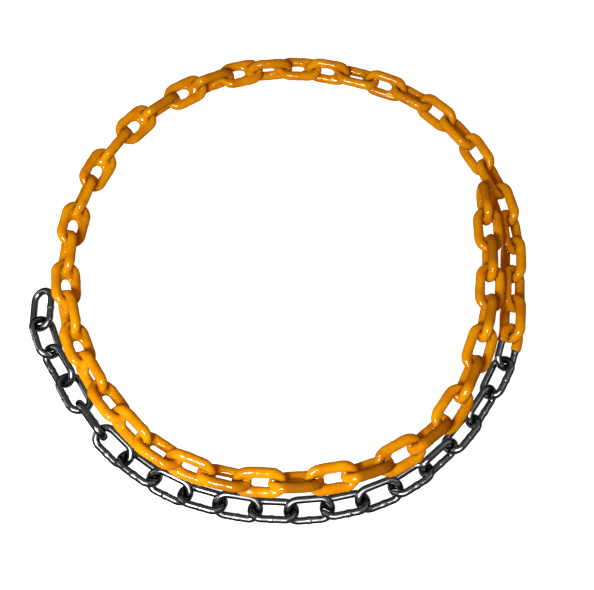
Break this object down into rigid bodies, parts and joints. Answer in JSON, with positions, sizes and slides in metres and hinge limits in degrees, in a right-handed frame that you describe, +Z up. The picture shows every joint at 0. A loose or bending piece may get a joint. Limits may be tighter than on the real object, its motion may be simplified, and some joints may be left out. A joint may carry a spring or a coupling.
{
  "type": "part-coated welded steel link chain laid in a ring",
  "caption": "Length of welded round-link chain laid in a ring of a turn and a bit: bare steel links at one end, the rest dipped in soft orange plastic.",
  "frame": {"origin": "middle of the ring's bounding box, on the floor it lies on", "axes": "+Z up from the floor; +X to the right and +Y away from a person who looks at the bare stretch; the run goes counter-clockwise seen from above"},
  "size_m": [0.3814, 0.3808, 0.0335],
  "materials": {
    "bare_steel": "dark self-coloured steel, smooth and glossy",
    "orange_coat": "thick dipped soft plastic, glossy, with small lumps"
  },
  "bodies": {
    "root": {"bare_link_01": "bare_steel", "bare_link_02": "bare_steel", "bare_link_03": "bare_steel", "bare_link_04": "bare_steel", "bare_link_05": "bare_steel", "bare_link_06": "bare_steel", "bare_link_07": "bare_steel", "bare_link_08": "bare_steel", "bare_link_09": "bare_steel", "bare_link_10": "bare_steel", "bare_link_11": "bare_steel", "bare_link_12": "bare_steel", "bare_link_13": "bare_steel", "bare_link_14": "bare_steel", "bare_link_15": "bare_steel", "bare_link_16": "bare_steel", "bare_link_17": "bare_steel", "bare_link_18": "bare_steel", "bare_link_19": "bare_steel", "coat_sleeve": "orange_coat", "coated_link_01": "orange_coat", "coated_link_02": "orange_coat", "coated_link_03": "orange_coat", "coated_link_04": "orange_coat", "coated_link_05": "orange_coat", "coated_link_06": "orange_coat", "coated_link_11": "orange_coat", "coated_link_12": "orange_coat", "coated_link_13": "orange_coat", "coated_link_14": "orange_coat", "coated_link_15": "orange_coat", "coated_link_16": "orange_coat", "coated_link_29": "orange_coat", "coated_link_30": "orange_coat", "coated_link_35": "orange_coat", "coated_link_36": "orange_coat", "coated_link_37": "orange_coat", "coated_link_38": "orange_coat", "coated_link_39": "orange_coat", "coated_link_40": "orange_coat", "coated_link_41": "orange_coat", "coated_link_42": "orange_coat", "coated_link_43": "orange_coat", "coated_link_44": "orange_coat", "coated_link_45": "orange_coat", "coated_link_46": "orange_coat", "coated_link_47": "orange_coat", "coated_link_48": "orange_coat", "coated_pair_07_08": "orange_coat", "coated_pair_09_10": "orange_coat", "coated_pair_17_18": "orange_coat", "coated_pair_19_20": "orange_coat", "coated_pair_21_22": "orange_coat", "coated_pair_23_24": "orange_coat", "coated_pair_25_26": "orange_coat", "coated_pair_27_28": "orange_coat", "coated_pair_31_32": "orange_coat", "coated_pair_33_34": "orange_coat", "half_coated_link": "bare_steel"}
  },
  "joints": []
}
